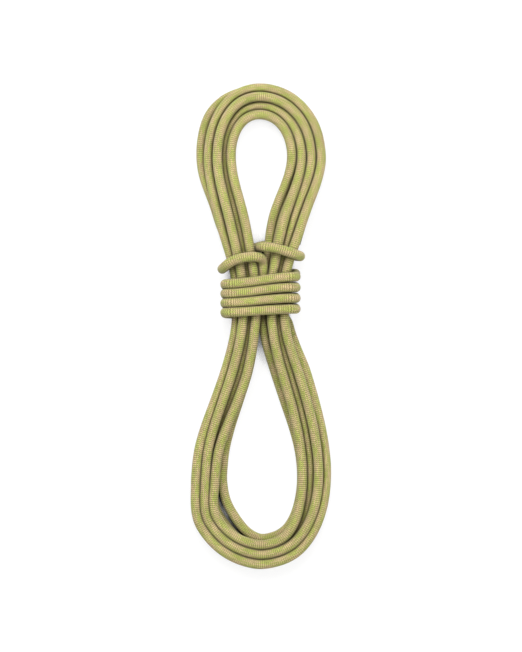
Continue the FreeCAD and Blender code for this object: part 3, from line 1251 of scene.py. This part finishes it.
@dataclass(frozen=True)
class EndFinish:
    """Sleeve and fused seal on one end of the rope, in millimetres."""

    rope: Rope
    sleeve_length: float = 20.0
    wall: float = 0.5
    clearance: float = 0.06
    sleeve_steps: int = 20
    wave_height: float = 0.05
    wave_rate: float = 1.7
    seal_thickness: float = 1.5
    seal_radius: float = 4.8
    seal_foot: float = 0.96
    rim_share: float = 0.25
    dome_power: float = 0.55
    dome_steps: int = 10
    segments: int = 48

    def sleeve(self, name: str, tip: Vector, inward: Vector) -> bpy.types.Object:
        """Make the sleeve, with rolled lips and the slight waves of a shrunk tube.

        Args:
            name: Name of the new piece.
            tip: End of the rope, in millimetres.
            inward: Direction from the tip into the rope.

        Returns:
            The new object.
        """
        bore = self.rope.radius + self.clearance
        outer, length, lip = bore + self.wall, self.sleeve_length, self.wall / 2
        profile = [(bore, lip), (bore + lip, 0.0), (outer, lip)]
        for step in range(1, self.sleeve_steps):
            along = lip + (length - 2 * lip) * step / self.sleeve_steps
            profile.append((outer + self.wave_height * math.sin(along * self.wave_rate), along))
        profile += [(outer, length - lip), (bore + lip, length), (bore, length - lip)]
        return self._turned(name, profile, tip, inward, closed=True)

    def seal(self, name: str, tip: Vector, outward: Vector) -> bpy.types.Object:
        """Make the seal, a low dome with a softened rim.

        Args:
            name: Name of the new piece.
            tip: End of the rope, in millimetres.
            outward: Direction in which the dome stands.

        Returns:
            The new object.
        """
        radius, thick, rim = self.seal_radius, self.seal_thickness, self.rim_share
        profile = [(0.0, 0.0), (radius * self.seal_foot, 0.0), (radius, thick * rim)]
        for step in range(1, self.dome_steps):
            angle = math.pi / 2 * step / self.dome_steps
            profile.append((radius * math.cos(angle) ** self.dome_power,
                            thick * (rim + (1 - rim) * math.sin(angle))))
        profile.append((0.0, thick))
        return self._turned(name, profile, tip, outward, closed=False)

    def _turned(self, name: str, profile: list[tuple[float, float]], tip: Vector,
                way: Vector, closed: bool) -> bpy.types.Object:
        """Turn a profile round the rope's axis.

        Args:
            name: Name of the new piece.
            profile: Radius and height pairs, in millimetres.
            tip: End of the rope, in millimetres.
            way: Direction in which the heights run.
            closed: Whether the profile is a closed outline.

        Returns:
            The new object.
        """
        side = way.orthogonal().normalized()
        across = way.cross(side)
        vertices, rings = [], []
        for radius, height in profile:
            centre = (tip + way * height) * MM
            if radius == 0:
                rings.append([len(vertices)] * self.segments)
                vertices.append(centre)
                continue
            rings.append(list(range(len(vertices), len(vertices) + self.segments)))
            for number in range(self.segments):
                angle = 2 * math.pi * number / self.segments
                reach = side * math.cos(angle) + across * math.sin(angle)
                vertices.append(centre + reach * radius * MM)
        pairs = list(zip(rings, rings[1:]))
        if closed:
            pairs.append((rings[-1], rings[0]))
        faces = []
        for lower, upper in pairs:
            for number in range(self.segments):
                after = (number + 1) % self.segments
                corners = (lower[number], lower[after], upper[after], upper[number])
                faces.append(list(dict.fromkeys(corners)))
        mesh = bpy.data.meshes.new(name)
        mesh.from_pydata(vertices, [], faces)
        mesh.polygons.foreach_set("use_smooth", [True] * len(faces))
        mesh.update()
        piece = bpy.data.objects.new(name, mesh)
        bpy.context.collection.objects.link(piece)
        return piece


@dataclass(frozen=True)
class Studio:
    """Pale floor and soft light."""

    floor_half: float = 3.0
    floor_white: float = 1.05
    floor_share: float = 0.8
    # Reach, samples and range of the ambient occlusion that lays painted shade on the floor in
    # narrow gaps.
    gap_shade_reach: float = 0.032
    gap_shade_samples: int = 16
    gap_shade_edge: Range = (0.24, 0.4)
    pale: Colour = (0.8, 0.8, 0.79, 1.0)
    # Painted shade: near-black colour of the floor in narrow gaps between strands.
    painted_gap_shade: Colour = (0.02, 0.02, 0.012, 1.0)
    light_side: float = 1.6
    light_height: float = 1.7
    key_place: tuple[float, float] = (-0.25, 0.95)
    key_power: float = 58.0
    fill_place: tuple[float, float] = (0.9, -0.5)
    fill_power: float = 20.0
    world_strength: float = 0.3
    world_white: float = 1.0

    def build(self) -> None:
        """Make the floor, the lights and the world."""
        bpy.context.scene.view_settings.view_transform = "Standard"
        self._floor()
        self._light("key_light", self.key_place, self.key_power)
        self._light("fill_light", self.fill_place, self.fill_power)
        self._world()

    def _world(self) -> None:
        """Make the world: dim light all round, white where the camera looks past the floor."""
        world = bpy.data.worlds.new("studio")
        shader = Shader.on(world)
        glow, white = (shader.node("ShaderNodeBackground") for _ in range(2))
        for part, strength in ((glow, self.world_strength), (white, self.world_white)):
            part.inputs["Color"].default_value = WHITE
            part.inputs["Strength"].default_value = strength
        output = shader.node("ShaderNodeOutputWorld")
        shader.feed(output.inputs[0], shader.backdrop(glow.outputs[0], white.outputs[0], 1.0))
        bpy.context.scene.world = world

    def _floor(self) -> None:
        """Make the floor: white to the camera, pale to the light, with painted shade in narrow
        gaps between strands.
        """
        half = self.floor_half
        mesh = bpy.data.meshes.new("floor")
        corners = [(-half, -half, 0), (half, -half, 0), (half, half, 0), (-half, half, 0)]
        mesh.from_pydata(corners, [], [(0, 1, 2, 3)])
        floor = bpy.data.objects.new("floor", mesh)
        bpy.context.collection.objects.link(floor)
        shader = Shader.new("pale_floor")
        surface = shader.node("ShaderNodeBsdfDiffuse")
        # Painted shade: the floor turns dark and shows less white where ambient occlusion finds
        # narrow gaps.
        openness = shader.ramp(shader.openness(self.gap_shade_reach, self.gap_shade_samples), self.gap_shade_edge)
        shader.feed(surface.inputs["Color"], shader.mix(openness, self.painted_gap_shade, self.pale))
        white = shader.node("ShaderNodeEmission")
        white.inputs["Color"].default_value = WHITE
        white.inputs["Strength"].default_value = self.floor_white
        output = shader.node("ShaderNodeOutputMaterial")
        share = shader.math("MULTIPLY", openness, self.floor_share)
        shader.feed(output.inputs[0], shader.backdrop(surface.outputs[0], white.outputs[0], share))
        mesh.materials.append(shader.owner)
        floor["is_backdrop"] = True

    def _light(self, name: str, beside: tuple[float, float], power: float) -> None:
        """Make one large soft light that looks at the middle of the hank.

        Args:
            name: Name of the light.
            beside: Where it stands over the floor, in metres.
            power: Its power in watts.
        """
        place = Vector((*beside, self.light_height))
        data = bpy.data.lights.new(name, "AREA")
        data.shape = "DISK"
        data.size = self.light_side
        data.energy = power
        lamp = bpy.data.objects.new(name, data)
        lamp.location = place
        lamp.rotation_euler = (-place).to_track_quat("-Z", "Y").to_euler()
        bpy.context.collection.objects.link(lamp)


@dataclass(frozen=True)
class PhotoCamera:
    """Camera straight above the hank, framed as the photograph is. Places are in metres."""

    image_height: int = 652
    millimetres_per_pixel: float = 1.054
    focus_height: float = 0.03
    distance: float = 2.6
    clip_end: float = 50.0
    centre: tuple[float, float] = (0.0, -0.0003)

    def build(self) -> None:
        """Make the camera and look straight down."""
        data = bpy.data.cameras.new("photo_camera")
        data.sensor_fit = "VERTICAL"
        covered = self.image_height * self.millimetres_per_pixel * MM
        data.lens = data.sensor_height * self.distance / covered
        data.clip_end = self.clip_end
        camera = bpy.data.objects.new("photo_camera", data)
        camera.location = (*self.centre, self.focus_height + self.distance)
        bpy.context.collection.objects.link(camera)
        bpy.context.scene.camera = camera


@dataclass(frozen=True)
class Stretch:
    """One stretch of the rope: its piece, the CAD nodes that it stands for and its route."""

    name: str
    nodes: tuple[str, ...]
    controls: list[Vector]
    tube: Tube
    far_end: FarEnd
    lay: Lay

    def build(self, start: float, sheath: bpy.types.Material,
              on_it: list[bpy.types.Object]) -> float:
        """Args:
            start: Length of rope before this stretch, in metres.
            sheath: Finish of the rope.
            on_it: Pieces that this stretch carries. Not used.

        Returns:
            Length of the stretch, in metres.
        """
        line = Line.through(self.controls, self.name + "_route")
        piece, centres = self.tube.build(self.name, line, start)
        piece.data.materials.append(sheath)
        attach(piece, "root")
        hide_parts(*self.nodes)
        line.length
        log.info("%s: %.0f mm of rope, %d faces", self.name, line.length / MM,
                 len(piece.data.polygons))
        return line.length


def dress_end(finish: EndFinish, end: str, tip: Vector, inward: Vector,
              sleeve_material: bpy.types.Material,
              seal_material: bpy.types.Material) -> list[bpy.types.Object]:
    """Make the sleeve and the seal of one end of the rope.

    Args:
        finish: Sizes of both pieces.
        end: Which end, as the CAD nodes name it.
        tip: End of the rope, in millimetres.
        inward: Direction from the tip into the rope.
        sleeve_material: Finish of the sleeve.
        seal_material: Finish of the seal.

    Returns:
        The two pieces.
    """
    sleeve = finish.sleeve(end + "_sleeve_tube", tip, inward)
    seal = finish.seal(end + "_seal_dome", tip, -inward)
    for piece, node, slot, material in (
            (sleeve, end + "_sleeve", Slot.SLEEVE, sleeve_material),
            (seal, end + "_seal", Slot.FUSED, seal_material)):
        piece.data.materials.append(material)
        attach(piece, "root")
        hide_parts(node)
        log.info("%s: %d faces", piece.name, len(piece.data.polygons))
    return [sleeve, seal]


def main() -> list[list[float]]:
    """Build the studio and every piece.

    Returns:
        The CAD model's box, as it was before anything was dressed.
    """
    logging.basicConfig(level=logging.INFO, format="%(name)s: %(message)s")
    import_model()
    cad_box = [list(corner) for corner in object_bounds()]
    PhotoCamera().build()
    Studio().build()

    rope = Rope()
    hank = Hank(rope)
    wraps = Wraps(rope, hank)
    bight = Bight(rope, wraps)
    hank_places = hank.places(Place(wraps.start, wraps.start_way))
    bight_points = bight.points()

    sheath = BraidedSheath().build()
    sleeve_material, seal_material = ShrunkTube().build(), FusedNylon().build()
    finish = EndFinish(rope)
    dress_end(finish, "first_end", hank_places[0].point, hank_places[0].forward,
              sleeve_material, seal_material)
    tail_way = (bight_points[-2] - bight_points[-1]).normalized()
    tail_pieces = dress_end(finish, "tail_end", bight_points[-1], tail_way,
                            sleeve_material, seal_material)

    long_tube = Tube(rope, spacing=0.0022, segments=24)
    short_tube = Tube(rope, spacing=0.0008, segments=36)
    stretches = [
        Stretch("hank_loops_rope", ("hank_loops",), smooth_points(hank_places, per_span=4),
                long_tube, FarEnd.OBJECT, Lay.COILED),
        Stretch("waist_wraps_rope", ("waist_wraps",), smooth_points(wraps.places(), per_span=3),
                short_tube, FarEnd.OBJECT, Lay.COILED),
        Stretch("locking_bight_rope", ("locking_bight", "tucked_tail"), bight_points,
                short_tube, FarEnd.FITTING, Lay.LOOSE),
    ]
    made = 0.0
    for stretch in stretches:
        carried = tail_pieces if stretch.far_end is FarEnd.FITTING else []
        made += stretch.build(made, sheath, carried)
    log.info("whole rope: %.0f mm", made / MM)
    return cad_box


if __name__ == "__main__":
    box = main()
